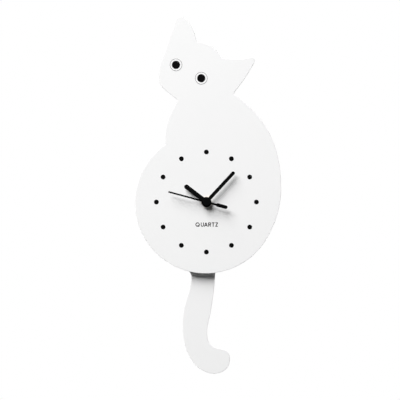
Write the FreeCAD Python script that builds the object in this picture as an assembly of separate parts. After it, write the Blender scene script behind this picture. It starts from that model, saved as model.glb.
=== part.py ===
import FreeCAD, Part
import math
import os

# Wall clock cut from sheet steel in the shape of a sitting cat, with a quartz pendulum movement behind it.
# Millimetres. X to the right, Y from the front to the wall, Z up. The solids are laid out around the hand
# shaft, front face of the sheet at y = 0, and moved at the end so that the hanger eye is the origin.

V = FreeCAD.Vector

# --- driving dimensions -------------------------------------------------------------------------------
SHEET = 1.5              # thickness of the cat and of its tail
SHEET_EDGE = 0.45        # rounding of the sheet's front rim
BELLY_R = 106.1          # the belly is a circle, nearly about the hand shaft
BELLY = (-1.0, -1.0)
DOT_RING_R = 75.0
DOT_R = 3.6
PRINT = 0.1              # thickness of printed marks
EYE_RING_R = 9.3
EYE_WHITE_R = 8.6
PUPIL_R = 6.2
LEFT_EYE = (-45.6, 205.7)
RIGHT_EYE = (-7.7, 185.7)

HOUR_ANGLE = 307.4       # clockwise from 12, degrees
MINUTE_ANGLE = 42.8
SECOND_ANGLE = 285.0
HOUR_LENGTH = 41.0
HOUR_WIDTH = 6.8
MINUTE_LENGTH = 61.5
MINUTE_WIDTH = 5.3
SECOND_LENGTH = 59.0
SECOND_WIDTH = 2.5

CASE_X = 31.0            # half width of the movement case
CASE_TOP = 28.0
CASE_BOTTOM = -82.0
CASE_FRONT = 2.5
CASE_SPLIT = 11.0
CASE_REAR = 19.5         # the wall plane
WALL = 1.5
HANGER_Z = 40.0
HANGER_R = 4.0
HANGER_TAB = 2.5

BATTERY_Z = -29.0
BATTERY_Y = 11.4
BATTERY_R = 7.1
BAY_HALF = 7.6

PIVOT_Z = -43.0
SWING_NOW = 2.8          # the pendulum stands this far clockwise of hanging straight
MAGNET_Z = -66.0

MOTION = (0.0, 8.4)
KNOB = (0.0, 16.8)
THIRD = (-9.98, -3.63)
IDLER = (8.56, -1.82)
ROTOR = (16.36, -3.2)
POSTS = ((-14.0, 10.5), (-17.5, -15.5), (21.0, -13.5), (8.45, 10.7))
CASE_POSTS = ((-27.0, 24.0), (27.0, 24.0), (-27.0, -77.8), (27.0, -77.8))
COIL_Z = 19.5
COIL_Y = 11.5
COIL_FEET = ((4.8, COIL_Z), (24.2, COIL_Z))
BOARD_FEET = ((-22.0, 15.6), (-10.0, 23.4))


# --- helpers ------------------------------------------------------------------------------------------
def at(p):
    return V(p[0], 0, p[1])


def line(a, b):
    return Part.makeLine(at(a), at(b))


def arc(a, b, c):
    return Part.Arc(at(a), at(b), at(c)).toShape()


def bearing(a, b):
    """Heading from a to b in degrees, from +X toward +Z."""
    return math.degrees(math.atan2(b[1] - a[1], b[0] - a[0]))


def bend(a, heading, b):
    """An arc that leaves a at this heading and ends at b, with its heading there."""
    chord = bearing(a, b)
    c = math.radians(chord)
    lift = math.hypot(b[0] - a[0], b[1] - a[1]) / 2 * math.tan(math.radians(heading - chord) / 2)
    middle = ((a[0] + b[0]) / 2 - lift * math.sin(c), (a[1] + b[1]) / 2 + lift * math.cos(c))
    return arc(a, middle, b), 2 * chord - heading


def sweep(a, heading, b, end_heading, pull=0.35, end_pull=0.35):
    """A smooth curve from a to b with these headings; the pulls are its handles as shares of the chord."""
    long = math.hypot(b[0] - a[0], b[1] - a[1])
    h, e = math.radians(heading), math.radians(end_heading)
    c = Part.BezierCurve()
    c.setPoles(
        [
            at(a),
            V(a[0] + pull * long * math.cos(h), 0, a[1] + pull * long * math.sin(h)),
            V(b[0] - end_pull * long * math.cos(e), 0, b[1] - end_pull * long * math.sin(e)),
            at(b),
        ]
    )
    return c.toShape()


def sheet(edges, y0, y1):
    """The outline drawn by edges in the XZ plane, filled from y0 to y1."""
    face = Part.Face(Part.Wire(edges))
    face.translate(V(0, y0, 0))
    return face.extrude(V(0, y1 - y0, 0))


def polygon(points, y0, y1):
    ring = Part.makePolygon([V(x, y0, z) for x, z in points + points[:1]])
    return Part.Face(ring).extrude(V(0, y1 - y0, 0))


def rod(r, y0, y1, p=(0.0, 0.0)):
    return Part.makeCylinder(r, y1 - y0, V(p[0], y0, p[1]), V(0, 1, 0))


def tube(r_in, r_out, y0, y1, p=(0.0, 0.0)):
    return rod(r_out, y0, y1, p).cut(rod(r_in, y0, y1, p))


def cross_rod(r, x0, x1, y, z):
    return Part.makeCylinder(r, x1 - x0, V(x0, y, z), V(1, 0, 0))


def box(x0, x1, y0, y1, z0, z1):
    return Part.makeBox(x1 - x0, y1 - y0, z1 - z0, V(x0, y0, z0))


def joined(*shapes):
    first = shapes[0]
    return first.multiFuse(list(shapes[1:])).removeSplitter()


def baton(r0, r1, width, angle, y0, y1):
    """A bar with round ends lying between the distances r0 and r1 from the shaft, clockwise from 12."""
    h = width / 2
    rim = [
        line((-h, r0 + h), (-h, r1 - h)),
        arc((-h, r1 - h), (0, r1), (h, r1 - h)),
        line((h, r1 - h), (h, r0 + h)),
        arc((h, r0 + h), (0, r0), (-h, r0 + h)),
    ]
    bar = sheet(rim, y0, y1)
    bar.rotate(V(0, 0, 0), V(0, 1, 0), angle)
    return bar


def gear(teeth, module, p, toward, tooth, y0, y1):
    """A spur gear. It shows a tooth, or else a gap, to the direction `toward` (degrees from +X to +Z)."""
    pitch_r = teeth * module / 2
    base_r = pitch_r * math.cos(math.radians(25))
    root_r = pitch_r - module
    tip_r = pitch_r + 0.72 * module
    thin = 0.09 * module

    def half(r):
        a = math.acos(min(1.0, base_r / r))
        a0 = math.radians(25)
        return math.pi / 2 / teeth - thin / pitch_r + (math.tan(a0) - a0) - (math.tan(a) - a)

    if teeth > 30:
        radii = [root_r, tip_r]
    else:
        radii = [root_r, max(base_r, root_r * 1.02), pitch_r, tip_r]
    flank = [(r, half(r)) for r in radii]
    start = math.radians(toward) + (0 if tooth else math.pi / teeth)
    points = []
    for k in range(teeth):
        mid = start + 2 * math.pi * k / teeth
        side = [(r, mid - a) for r, a in flank] + [(r, mid + a) for r, a in reversed(flank)]
        points += [(p[0] + r * math.cos(a), p[1] + r * math.sin(a)) for r, a in side]
    return polygon(points, y0, y1)


def swung(shape):
    """Turn something drawn hanging straight down from the pendulum's pivot into its present place."""
    shape.rotate(V(0, 0, PIVOT_Z), V(0, 1, 0), SWING_NOW)
    return shape


def wire(points, r):
    """A round lead through the given points, with a ball at each bend."""
    stops = [V(*p) for p in points]
    legs = [Part.makeCylinder(r, (b - a).Length, a, b - a) for a, b in zip(stops, stops[1:])]
    balls = [Part.makeSphere(r, p) for p in stops[1:-1]]
    return joined(*legs, *balls)


def screw(p, tip, seat, shank_r, head_r, head):
    """A pan head screw with a cross recess, driven toward -Y."""
    body = rod(shank_r, tip, seat, p).fuse(rod(head_r, seat, seat + head, p))
    deep = seat + head * 0.4
    a = box(p[0] - head_r * 0.62, p[0] + head_r * 0.62, deep, seat + head, p[1] - 0.2, p[1] + 0.2)
    b = box(p[0] - 0.2, p[0] + 0.2, deep, seat + head, p[1] - head_r * 0.62, p[1] + head_r * 0.62)
    return body.cut(a.fuse(b))


nodes = {}

# --- the cat ------------------------------------------------------------------------------------------
CHIN = (-70.6, 183.0)
CHEEK = (-70.0, 204.0)
EAR_LEFT = ((-46.3, 272.3), (-31.9, 275.6))
BROW = ((-15.2, 241.8), (-13.2, 240.0))
CROWN = ((21.6, 217.6), (23.2, 216.3))
EAR_RIGHT = ((65.3, 216.8), (71.6, 209.0))
NAPE = ((42.1, 165.0), (42.6, 160.4))
THROAT = ((-44.6, 149.6), (-45.6, 155.2))
BACK = (112.1, 22.0)
BELLY_START = -30.0      # where the round belly begins and ends, degrees from +X
BELLY_END = 125.6
CHEST = (-61.9, 87.0)


def on_belly(angle):
    turn = math.radians(angle)
    return BELLY[0] + BELLY_R * math.cos(turn), BELLY[1] + BELLY_R * math.sin(turn)


ear_side = bearing(CHEEK, EAR_LEFT[0])
ear_tip, way = bend(EAR_LEFT[0], ear_side, EAR_LEFT[1])
ear_fall, way = bend(EAR_LEFT[1], way, BROW[0])
brow_in, way = bend(BROW[0], way, BROW[1])
brow, way = bend(BROW[1], way, CROWN[0])
crown_in, way = bend(CROWN[0], way, CROWN[1])
ear_top, way = bend(CROWN[1], way, EAR_RIGHT[0])
ear_end, way = bend(EAR_RIGHT[0], way, EAR_RIGHT[1])
ear_back, way = bend(EAR_RIGHT[1], way, NAPE[0])
nape, way = bend(NAPE[0], way, NAPE[1])
upper_back = sweep(NAPE[1], way, BACK, -90.0, 0.17, 0.58)
lower_back = sweep(BACK, -90.0, on_belly(BELLY_START), BELLY_START - 90)
belly = arc(on_belly(BELLY_START), on_belly(BELLY_START - 100), on_belly(BELLY_END))
chest_in, way = bend(on_belly(BELLY_END), BELLY_END - 90, CHEST)
chest = sweep(CHEST, way, THROAT[0], 60.0, 0.35, 0.49)
throat, way = bend(THROAT[0], 60.0, THROAT[1])
cheek = [sweep(THROAT[1], way, CHIN, 94.0, 0.5, 0.3), sweep(CHIN, 94.0, CHEEK, ear_side)]
outline = [line(CHEEK, EAR_LEFT[0]), ear_tip, ear_fall, brow_in, brow, crown_in, ear_top, ear_end]
outline += [ear_back, nape, upper_back, lower_back, belly, chest_in, chest, throat, *cheek]
cat = sheet(outline, 0, SHEET)
front_rim = [e for e in cat.Edges if abs(e.BoundBox.YMin) < 1e-6 and abs(e.BoundBox.YMax) < 1e-6]
cat = cat.makeFillet(SHEET_EDGE, front_rim)
nodes["cat_plate"] = cat.cut(rod(4.1, -1, SHEET + 1))

dots = []
for hour in range(12):
    turn = math.radians(30 * hour)
    dots.append(rod(DOT_R, -PRINT, 0, (DOT_RING_R * math.sin(turn), DOT_RING_R * math.cos(turn))))
nodes["hour_dots"] = Part.makeCompound(dots)
eyes = (LEFT_EYE, RIGHT_EYE)
nodes["eye_rings"] = Part.makeCompound([tube(EYE_WHITE_R, EYE_RING_R, -PRINT, 0, p) for p in eyes])
nodes["eye_whites"] = Part.makeCompound([tube(PUPIL_R, EYE_WHITE_R, -PRINT, 0, p) for p in eyes])
nodes["eye_pupils"] = Part.makeCompound([rod(PUPIL_R, -PRINT, 0, p) for p in eyes])


# --- printed word QUARTZ, plain strokes -----------------------------------------------------------------
CAP = 5.2
STROKE = 1.15
WORD_Z = -36.4


def stroke(a, b, x):
    """One straight stroke of a letter, from a to b as fractions of the cap height, starting at x."""
    ax, az, bx, bz = x + a[0] * CAP, WORD_Z + a[1] * CAP, x + b[0] * CAP, WORD_Z + b[1] * CAP
    long = math.hypot(bx - ax, bz - az)
    bar = box(0, long, -PRINT, 0, -STROKE / 2, STROKE / 2)
    bar.rotate(V(0, 0, 0), V(0, 1, 0), -math.degrees(math.atan2(bz - az, bx - ax)))
    bar.translate(V(ax, 0, az))
    return bar


def letter(x, strokes, rounds=()):
    shape = joined(*[stroke(a, b, x) for a, b in strokes], *rounds)
    return shape


def bow(x, z, r, keep):
    """Part of a ring centred at (x, z), cut to the box keep."""
    return tube(r - STROKE / 2, r + STROKE / 2, -PRINT, 0, (x, z)).common(keep)


q_ring = tube(CAP * 0.5 - STROKE / 2, CAP * 0.5 + STROKE / 2, -PRINT, 0, (-13.2, WORD_Z + CAP / 2))
letter_q = joined(q_ring, stroke((0.06, 0.3), (0.46, -0.08), -13.2))
u_bow = bow(-6.1, WORD_Z + 1.75, 1.75, box(-9, -3, -PRINT, 0, WORD_Z - 1, WORD_Z + 1.75))
letter_u = letter(-7.85, [((0, 0.33), (0, 1.08)), ((0.673, 0.33), (0.673, 1.08))], [u_bow])
a_bars = [((0, -0.08), (0.42, 1.05)), ((0.42, 1.05), (0.84, -0.08)), ((0.16, 0.3), (0.68, 0.3))]
letter_a = letter(-2.9, a_bars)
r_bow = bow(5.2, WORD_Z + 3.9, 1.35, box(5.2, 9, -PRINT, 0, WORD_Z, WORD_Z + 6))
r_bars = [((0, -0.08), (0, 1.08)), ((0, 1.01), (0.3, 1.01))]
r_bars += [((0, 0.49), (0.3, 0.49)), ((0.3, 0.5), (0.58, -0.06))]
letter_r = letter(3.45, r_bars, [r_bow])
letter_t = letter(8.1, [((0.4, -0.08), (0.4, 1.0)), ((0, 1.0), (0.8, 1.0))])
letter_z = letter(13.6, [((0, 1.0), (0.68, 1.0)), ((0.0, 0.0), (0.68, 0.0)), ((0.07, 0.02), (0.61, 0.98))])
nodes["dial_word"] = Part.makeCompound([letter_q, letter_u, letter_a, letter_r, letter_t, letter_z])

# --- hands --------------------------------------------------------------------------------------------
hour_bar = baton(0, HOUR_LENGTH, HOUR_WIDTH, HOUR_ANGLE, -5.6, -5.1)
hour = joined(rod(7.6, -5.6, -5.1), hour_bar, rod(3.6, -6.0, -4.6))
nodes["hour_hand"] = hour.cut(rod(2.5, -7, -4))
minute = joined(
    rod(6.2, -8.0, -7.5),
    baton(0, MINUTE_LENGTH, MINUTE_WIDTH, MINUTE_ANGLE, -8.0, -7.5),
    rod(2.6, -8.4, -7.1),
)
nodes["minute_hand"] = minute.cut(rod(1.55, -9, -7))
second = joined(
    rod(5.2, -10.4, -10.0),
    baton(0, SECOND_LENGTH, SECOND_WIDTH, SECOND_ANGLE, -10.4, -10.0),
    baton(0, 20.0, 3.0, SECOND_ANGLE + 180, -10.4, -10.0),
    baton(14.6, 32.6, 5.4, SECOND_ANGLE + 180, -10.4, -10.0),
    rod(1.1, -10.1, -8.9),
)
nodes["second_hand"] = second.cut(rod(0.5, -10.0, -8))

# --- bushing, nut and washers -----------------------------------------------------------------------------
nodes["threaded_bushing"] = joined(rod(3.9, -4.0, 4.0), rod(5.5, 3.0, 4.0)).cut(rod(2.55, -5, 5))
nodes["brass_washer"] = tube(4.0, 7.0, -0.5, 0)
hexagon = [(6.93 * math.cos(math.radians(60 * k)), 6.93 * math.sin(math.radians(60 * k))) for k in range(6)]
nodes["hex_nut"] = polygon(hexagon, -3.0, -0.5).cut(rod(3.9, -4, 0))
nodes["rubber_washer"] = tube(3.95, 10.0, SHEET, CASE_FRONT)

# --- movement case ------------------------------------------------------------------------------------
LIP = 0.8


def shell(y0, y1, inset=0.0, corner=3.0):
    """The case's rounded rectangle, filled from y0 to y1, drawn in by inset."""
    x = CASE_X - inset
    block = box(-x, x, y0, y1, CASE_BOTTOM + inset, CASE_TOP - inset)
    upright = [e for e in block.Edges if abs(e.BoundBox.YLength - (y1 - y0)) < 1e-6]
    return block.makeFillet(corner - inset / 2, upright)


def bay_walls(y0, y1):
    """The two long walls of the battery bay and the rib behind the positive contact."""
    x = CASE_X - WALL
    top = box(-x, x, y0, y1, BATTERY_Z + BAY_HALF, BATTERY_Z + BAY_HALF + 1)
    low = box(-x, x, y0, y1, BATTERY_Z - BAY_HALF - 1, BATTERY_Z - BAY_HALF)
    rib = box(26.3, 27.3, y0, y1, BATTERY_Z - BAY_HALF, BATTERY_Z + BAY_HALF)
    return [top, low, rib]


arm_slot = box(-9.5, 9.5, 8.5, 13.5, CASE_BOTTOM - 1, CASE_BOTTOM + WALL + 1)

front = shell(CASE_FRONT, CASE_SPLIT).cut(shell(CASE_FRONT + WALL, CASE_SPLIT, WALL))
lip = shell(CASE_SPLIT, CASE_SPLIT + 1.0, LIP).cut(shell(CASE_SPLIT, CASE_SPLIT + 1.0, WALL))
inside = CASE_FRONT + WALL
front = joined(
    front,
    lip,
    *bay_walls(inside, CASE_SPLIT),
    *[rod(2.0, inside, 8.9, p) for p in POSTS],
    *[rod(2.3, inside, CASE_SPLIT, p) for p in CASE_POSTS],
    *[rod(1.4, inside, 10.3, p) for p in COIL_FEET],
    *[rod(1.3, inside, 9.5, p) for p in BOARD_FEET],
    rod(0.7, inside, 7.3, MOTION),
    rod(1.5, inside, 5.6, THIRD),
    rod(1.6, inside, 5.7, KNOB),
    rod(2.6, inside, 8.2, (0.0, PIVOT_Z)),
)
for p in POSTS:
    front = front.cut(rod(0.7, 5.5, 9, p))
for p in CASE_POSTS:
    front = front.cut(rod(1.0, 5.5, 12, p))
for p in COIL_FEET:
    front = front.cut(rod(0.6, 6.0, 11, p))
front = front.cut(rod(0.35, 4.2, 6, THIRD)).cut(rod(0.65, 4.2, 6, KNOB))
front = front.cut(rod(1.0, 4.8, 9, (0.0, PIVOT_Z))).cut(arm_slot)
front = front.cut(rod(3.9, 2, 5)).cut(rod(5.5, 3.0, 5))
for x in (-14.0, 14.0):
    front = front.fuse(tube(0.9, 1.8, inside, 4.6, (x, -56.0)))
nodes["case_front"] = front.removeSplitter()

back = shell(CASE_SPLIT, CASE_REAR).cut(shell(CASE_SPLIT, CASE_REAR - WALL, WALL))
back = back.cut(shell(CASE_SPLIT, CASE_SPLIT + 1.05, LIP - 0.06))
hanger = box(-11, 11, CASE_REAR - HANGER_TAB, CASE_REAR, CASE_TOP - 1, HANGER_Z)
hanger = hanger.fuse(rod(11, CASE_REAR - HANGER_TAB, CASE_REAR, (0.0, HANGER_Z)))
ribs = []
for x in (-10.5, 9.0):
    gusset = Part.makePolygon([V(x, 12.5, 28), V(x, 17.0, 38), V(x, 17.0, 28), V(x, 12.5, 28)])
    ribs.append(Part.Face(gusset).extrude(V(1.5, 0, 0)))
rear_inside = CASE_REAR - WALL
back = joined(
    back,
    hanger,
    *ribs,
    *bay_walls(CASE_SPLIT, rear_inside),
    *[rod(2.3, CASE_SPLIT, rear_inside, p) for p in CASE_POSTS],
    rod(7.6, 16.0, CASE_REAR, KNOB),
    rod(2.6, 13.8, rear_inside, (0.0, PIVOT_Z)),
)
back = back.cut(rod(HANGER_R, 16, 20, (0.0, HANGER_Z)))
back = back.cut(rod(6.6, 16.8, 20, KNOB)).cut(rod(1.25, 15, 17, KNOB))
back = back.cut(rod(1.0, 13, 16.8, (0.0, PIVOT_Z))).cut(arm_slot)
bay = box(-27.5, 26.3, rear_inside - 1, 20, BATTERY_Z - BAY_HALF, BATTERY_Z + BAY_HALF)
back = back.cut(bay)
for p in CASE_POSTS:
    back = back.cut(rod(1.1, 10, 19, p)).cut(rod(2.2, 18.2, 20, p))
for z in (-52.0, -56.0, -60.0, -64.0):
    back = back.cut(box(-16, 16, 18.9, 20, z - 0.9, z + 0.9))
nodes["case_back"] = back.removeSplitter()
nodes["case_screws"] = Part.makeCompound([screw(p, 6.0, 18.2, 1.0, 2.0, 1.2) for p in CASE_POSTS])

# --- gear train plates --------------------------------------------------------------------------------
plan = [(-20.0, -18.0), (24.0, -18.0), (24.0, 1.0), (14.2, 12.8), (-17.0, 12.8), (-20.0, 9.8)]
plate = polygon(plan, 8.9, 9.9)
plate = joined(
    plate,
    *[rod(1.6, 9.9, 14.6, p) for p in POSTS],
    box(11.0, 13.0, 9.9, 10.3, 4.0, 8.0),
    box(22.8, 23.8, 9.9, 10.3, -4.5, -2.0),
)
for p in POSTS:
    plate = plate.cut(rod(0.75, 8, 15, p))
plate = plate.cut(rod(0.55, 8, 11)).cut(rod(1.1, 8, 11, THIRD))
plate = plate.cut(rod(0.35, 8, 11, IDLER)).cut(rod(0.3, 8, 11, ROTOR))
nodes["train_plate"] = plate
bridge = polygon(plan, 14.6, 15.8)
for p in POSTS:
    bridge = bridge.cut(rod(0.75, 14, 16, p))
for p, r in (((0.0, 0.0), 0.55), (THIRD, 0.35), (IDLER, 0.35), (ROTOR, 0.3)):
    bridge = bridge.cut(rod(r, 14, 16, p))
nodes["train_bridge"] = bridge
nodes["train_screws"] = Part.makeCompound([screw(p, 6.0, 15.8, 0.7, 1.4, 0.8) for p in POSTS])

# --- wheels: front to back, each pair meshes in its own layer ---------------------------------------------
hour_gear = gear(40, 0.336, (0.0, 0.0), 90, False, 4.4, 5.6)
nodes["hour_wheel"] = joined(hour_gear, rod(2.5, -6.4, 5.6)).cut(rod(1.6, -7, 6))
cannon = gear(12, 0.35, (0.0, 0.0), 90, False, 6.0, 7.0)
nodes["minute_tube"] = joined(cannon, rod(1.55, -8.6, 8.7)).cut(rod(0.55, -9, 9))
nodes["clutch_washer"] = tube(1.55, 3.2, 7.0, 7.35)
motion_wheel = gear(36, 0.35, MOTION, -90, True, 6.0, 7.0)
motion_pinion = gear(10, 0.336, MOTION, -90, True, 4.4, 5.6)
motion = joined(motion_wheel, motion_pinion, rod(1.15, 5.6, 6.0, MOTION))
nodes["motion_wheel"] = motion.cut(rod(0.75, 4, 8, MOTION))
knob_pinion = gear(12, 0.35, KNOB, -90, False, 6.0, 7.0)
grip = rod(6.2, 16.9, 19.3, KNOB)
for k in range(18):
    turn = math.radians(20 * k)
    grip = grip.cut(rod(0.45, 16, 20, (KNOB[0] + 6.4 * math.cos(turn), KNOB[1] + 6.4 * math.sin(turn))))
arrow = box(-3.6, 3.6, 18.8, 19.4, KNOB[1] - 0.5, KNOB[1] + 0.5)
knob = joined(knob_pinion, rod(1.2, 6.0, 16.9, KNOB), rod(0.6, 4.3, 6.0, KNOB), grip)
nodes["setting_knob"] = knob.cut(arrow)
third_to_second = bearing(THIRD, (0.0, 0.0))
centre_gear = gear(80, 0.23611, (0.0, 0.0), third_to_second + 180, False, 7.4, 8.4)
nodes["centre_wheel"] = joined(centre_gear, rod(2.6, 8.4, 8.65)).cut(rod(1.6, 7, 9))
third_gear = gear(75, 0.25, THIRD, third_to_second, True, 10.3, 11.2)
third_pinion = gear(10, 0.23611, THIRD, third_to_second, True, 7.4, 8.4)
third = joined(third_gear, third_pinion, rod(0.8, 5.7, 14.4, THIRD), rod(0.3, 4.5, 15.5, THIRD))
nodes["third_wheel"] = third
seconds_pinion = gear(10, 0.25, (0.0, 0.0), third_to_second + 180, False, 10.3, 11.2)
idler_way = bearing((0.0, 0.0), IDLER)
seconds_gear = gear(60, 0.25, (0.0, 0.0), idler_way, True, 11.7, 12.6)
seconds_hub = rod(0.95, 10.1, 13.0)
nodes["seconds_wheel"] = joined(seconds_pinion, seconds_gear, seconds_hub).cut(rod(0.5, 9, 14))
nodes["seconds_arbor"] = rod(0.5, -10.0, 15.6)
idler_pinion = gear(10, 0.25, IDLER, idler_way + 180, False, 11.7, 12.6)
rotor_way = bearing(IDLER, ROTOR)
idler_gear = gear(60, 0.22, IDLER, rotor_way, True, 13.1, 14.0)
idler = joined(idler_pinion, idler_gear, rod(0.85, 10.1, 14.4, IDLER), rod(0.3, 9.1, 15.5, IDLER))
nodes["intermediate_wheel"] = idler
rotor_gear = gear(12, 0.22, ROTOR, rotor_way + 180, False, 13.1, 14.0)
nodes["rotor_pinion"] = joined(rotor_gear, rod(0.7, 10.1, 14.4, ROTOR), rod(0.25, 9.1, 15.5, ROTOR))
nodes["rotor_magnet"] = tube(0.7, 2.5, 10.3, 12.2, ROTOR)

# --- stepping motor -----------------------------------------------------------------------------------
stator = joined(
    box(3.3, 6.3, 10.3, 11.1, 13.0, 21.3),
    box(3.3, 13.4, 10.3, 11.1, 13.0, 15.8),
    box(10.6, 13.4, 10.3, 11.1, -4.5, 15.8),
    rod(5.2, 10.3, 11.1, ROTOR),
    box(18.0, 25.7, 10.3, 11.1, -5.5, -1.0),
    box(22.7, 25.7, 10.3, 11.1, -5.5, 21.3),
)
neck = box(ROTOR[0] - 0.5, ROTOR[0] + 0.5, 10, 12, -10, 4).cut(rod(3.6, 9, 13, ROTOR))
stator = stator.cut(rod(3.0, 10, 12, ROTOR)).cut(neck)
core = box(3.3, 25.7, 11.1, 11.9, COIL_Z - 1.8, COIL_Z + 1.8)
for p in COIL_FEET:
    stator = stator.cut(rod(0.65, 10, 12, p))
    core = core.cut(rod(0.65, 11, 12, p))
nodes["motor_stator"] = stator
nodes["coil_core"] = core
bobbin = joined(
    cross_rod(2.2, 6.5, 22.5, COIL_Y, COIL_Z),
    cross_rod(3.3, 6.5, 7.3, COIL_Y, COIL_Z),
    cross_rod(3.3, 21.7, 22.5, COIL_Y, COIL_Z),
)
nodes["coil_bobbin"] = bobbin.cut(core)
winding = cross_rod(3.05, 7.3, 21.7, COIL_Y, COIL_Z)
nodes["coil_winding"] = winding.cut(cross_rod(2.2, 7, 22, COIL_Y, COIL_Z))
nodes["coil_screws"] = Part.makeCompound([screw(p, 6.4, 11.9, 0.6, 1.3, 0.7) for p in COIL_FEET])

# --- circuit board ------------------------------------------------------------------------------------
board = box(-24.0, -8.0, 9.5, 10.5, 13.6, 25.4)
nodes["circuit_board"] = board
blob = Part.makeSphere(4.2, V(-17.0, 8.3, 20.4)).common(box(-24, -8, 10.5, 13, 13.6, 25.4))
nodes["chip_blob"] = blob
nodes["crystal_can"] = cross_rod(1.0, -21.5, -15.5, 11.5, 15.2)

# --- battery and its contacts -------------------------------------------------------------------------
nodes["battery_shell"] = cross_rod(BATTERY_R, -24.3, 24.5, BATTERY_Y, BATTERY_Z)
nodes["battery_cap"] = cross_rod(2.75, 24.5, 26.0, BATTERY_Y, BATTERY_Z)
nodes["battery_base"] = cross_rod(6.0, -24.5, -24.3, BATTERY_Y, BATTERY_Z)
strip = box(26.0, 26.3, 5.0, 17.6, BATTERY_Z - 3.5, BATTERY_Z + 3.5)
foot = box(25.0, 26.3, 4.0, 4.3, BATTERY_Z - 3.5, BATTERY_Z + 3.5)
riser = box(26.0, 26.3, 4.0, 5.0, BATTERY_Z - 3.5, BATTERY_Z + 3.5)
nodes["positive_contact"] = joined(strip, riser, foot)
COIL_R = 3.6
COIL_PITCH = 1.15
COIL_WIRE = 0.33


def half_turn(k):
    """The k-th half turn of the spring, climbing half a pitch along +X."""
    stops = []
    for share in (0.0, 0.5, 1.0):
        turn = math.pi * (k + share)
        climb = -28.26 + COIL_PITCH * (k + share) / 2
        stops.append(V(climb, BATTERY_Y + COIL_R * math.sin(turn), BATTERY_Z - COIL_R * math.cos(turn)))
    return Part.Arc(*stops).toShape()


turns = [half_turn(k) for k in range(6)]
first = turns[0]
begin = first.FirstParameter
section = Part.makeCircle(COIL_WIRE, first.valueAt(begin), first.tangentAt(begin))
spring = Part.Wire(turns).makePipeShell([Part.Wire(section)], True, True)
nodes["negative_spring"] = spring
nodes["negative_contact"] = box(-29.5, -28.6, 5.0, 17.6, BATTERY_Z - 5.5, BATTERY_Z + 5.5)

# --- pendulum drive ------------------------------------------------------------------------------------
drive = box(-16.5, 16.5, 4.6, 5.6, -78.0, -53.5)
for x in (-14.0, 14.0):
    drive = drive.cut(rod(0.9, 4, 6, (x, -56.0)))
nodes["drive_board"] = drive
drive_pins = [rod(0.9, 4.1, 6.2, (x, -56.0)).fuse(rod(1.6, 5.6, 6.2, (x, -56.0))) for x in (-14.0, 14.0)]
nodes["drive_pins"] = Part.makeCompound(drive_pins)
spool = joined(
    rod(2.4, 5.6, 9.0, (0.0, MAGNET_Z)),
    rod(8.0, 5.6, 6.0, (0.0, MAGNET_Z)),
    rod(8.0, 8.6, 9.0, (0.0, MAGNET_Z)),
)
nodes["drive_bobbin"] = spool
nodes["drive_winding"] = tube(2.4, 7.5, 6.0, 8.6, (0.0, MAGNET_Z))
nodes["drive_chip"] = box(9.5, 13.5, 5.6, 6.8, -75.5, -70.5)

# --- pendulum -----------------------------------------------------------------------------------------
nodes["pendulum_pin"] = rod(1.0, 4.8, 16.8, (0.0, PIVOT_Z))
arm = joined(
    rod(3.2, 8.5, 13.5, (0.0, PIVOT_Z)),
    box(-2.4, 2.4, 10.0, 12.0, -84.0, PIVOT_Z),
    rod(5.3, 9.7, 12.5, (0.0, MAGNET_Z)),
)
arm = arm.cut(rod(1.05, 8, 14, (0.0, PIVOT_Z))).cut(rod(4.0, 9, 13, (0.0, MAGNET_Z)))
RIVETS = ((0.0, -77.4), (0.0, -81.4))
for p in RIVETS:
    arm = arm.cut(rod(0.8, 9, 13, p))
nodes["pendulum_arm"] = swung(arm)
nodes["pendulum_magnet"] = swung(rod(4.0, 9.7, 12.5, (0.0, MAGNET_Z)))
VALLEY = (11.35, -90.9)
leg = box(-3.0, 3.0, 9.2, 10.0, VALLEY[1], -75.8)
rise = box(-3.0, 3.0, 12.7, 13.5, VALLEY[1], -87.2)
curl = cross_rod(2.15, -3.0, 3.0, *VALLEY).cut(cross_rod(1.35, -3.0, 3.0, *VALLEY))
curl = curl.common(box(-3, 3, 9, 14, -94, VALLEY[1]))
hook = joined(leg, rise, curl)
for p in RIVETS:
    hook = hook.cut(rod(0.8, 9, 10.5, p))
nodes["tail_hook"] = swung(hook)
rivets = [rod(0.8, 9.2, 12.0, p).fuse(rod(1.5, 8.8, 9.2, p)).fuse(rod(1.5, 12.0, 12.4, p)) for p in RIVETS]
nodes["hook_rivets"] = swung(Part.makeCompound(rivets))

# --- tail ---------------------------------------------------------------------------------------------
TAIL_FRONT = 10.6
ROOT_TOP = -86.6
TIP_LOW = (12.2, -258.3)
TIP_OUT = (35.5, -236.0)
TIP_IN = (24.6, -221.9)
SHOULDER = (-27.5, ROOT_TOP - 12.5)
WAIST = (-22.3, -113.5)
SWEEP = (-35.8, -185.0)
HOLLOW = (1.0, -198.0)
HIP = (13.9, ROOT_TOP - 10.4)
flare = sweep(SHOULDER, -90.0, WAIST, -89.0, 0.4, 0.5)
left_side = sweep(WAIST, -89.0, SWEEP, -90.0, 0.27, 0.51)
left_low = sweep(SWEEP, -90.0, TIP_LOW, 0.0, 0.56, 0.27)
tip_low = sweep(TIP_LOW, 0.0, TIP_OUT, 90.0, 0.25, 0.55)
tip_end = sweep(TIP_OUT, 90.0, TIP_IN, 168.0, 0.5, 0.28)
right_low = sweep(TIP_IN, 168.0, HOLLOW, 90.0, 0.27, 0.65)
right_side = sweep(HOLLOW, 90.0, HIP, 87.0, 0.22, 0.72)
root_right, way = bend(HIP, 87.0, (4.03, ROOT_TOP))
root_left, way = bend((-15.0, ROOT_TOP), 180.0, SHOULDER)
tail_edges = [flare, left_side, left_low, tip_low, tip_end, right_low, right_side, root_right]
tail_edges += [line((4.03, ROOT_TOP), (-15.0, ROOT_TOP)), root_left]
tail = sheet(tail_edges, TAIL_FRONT, TAIL_FRONT + SHEET)
tail_rim = [e for e in tail.Edges if abs(e.BoundBox.YMin - TAIL_FRONT) < 1e-6 and e.BoundBox.YLength < 1e-6]
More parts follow.
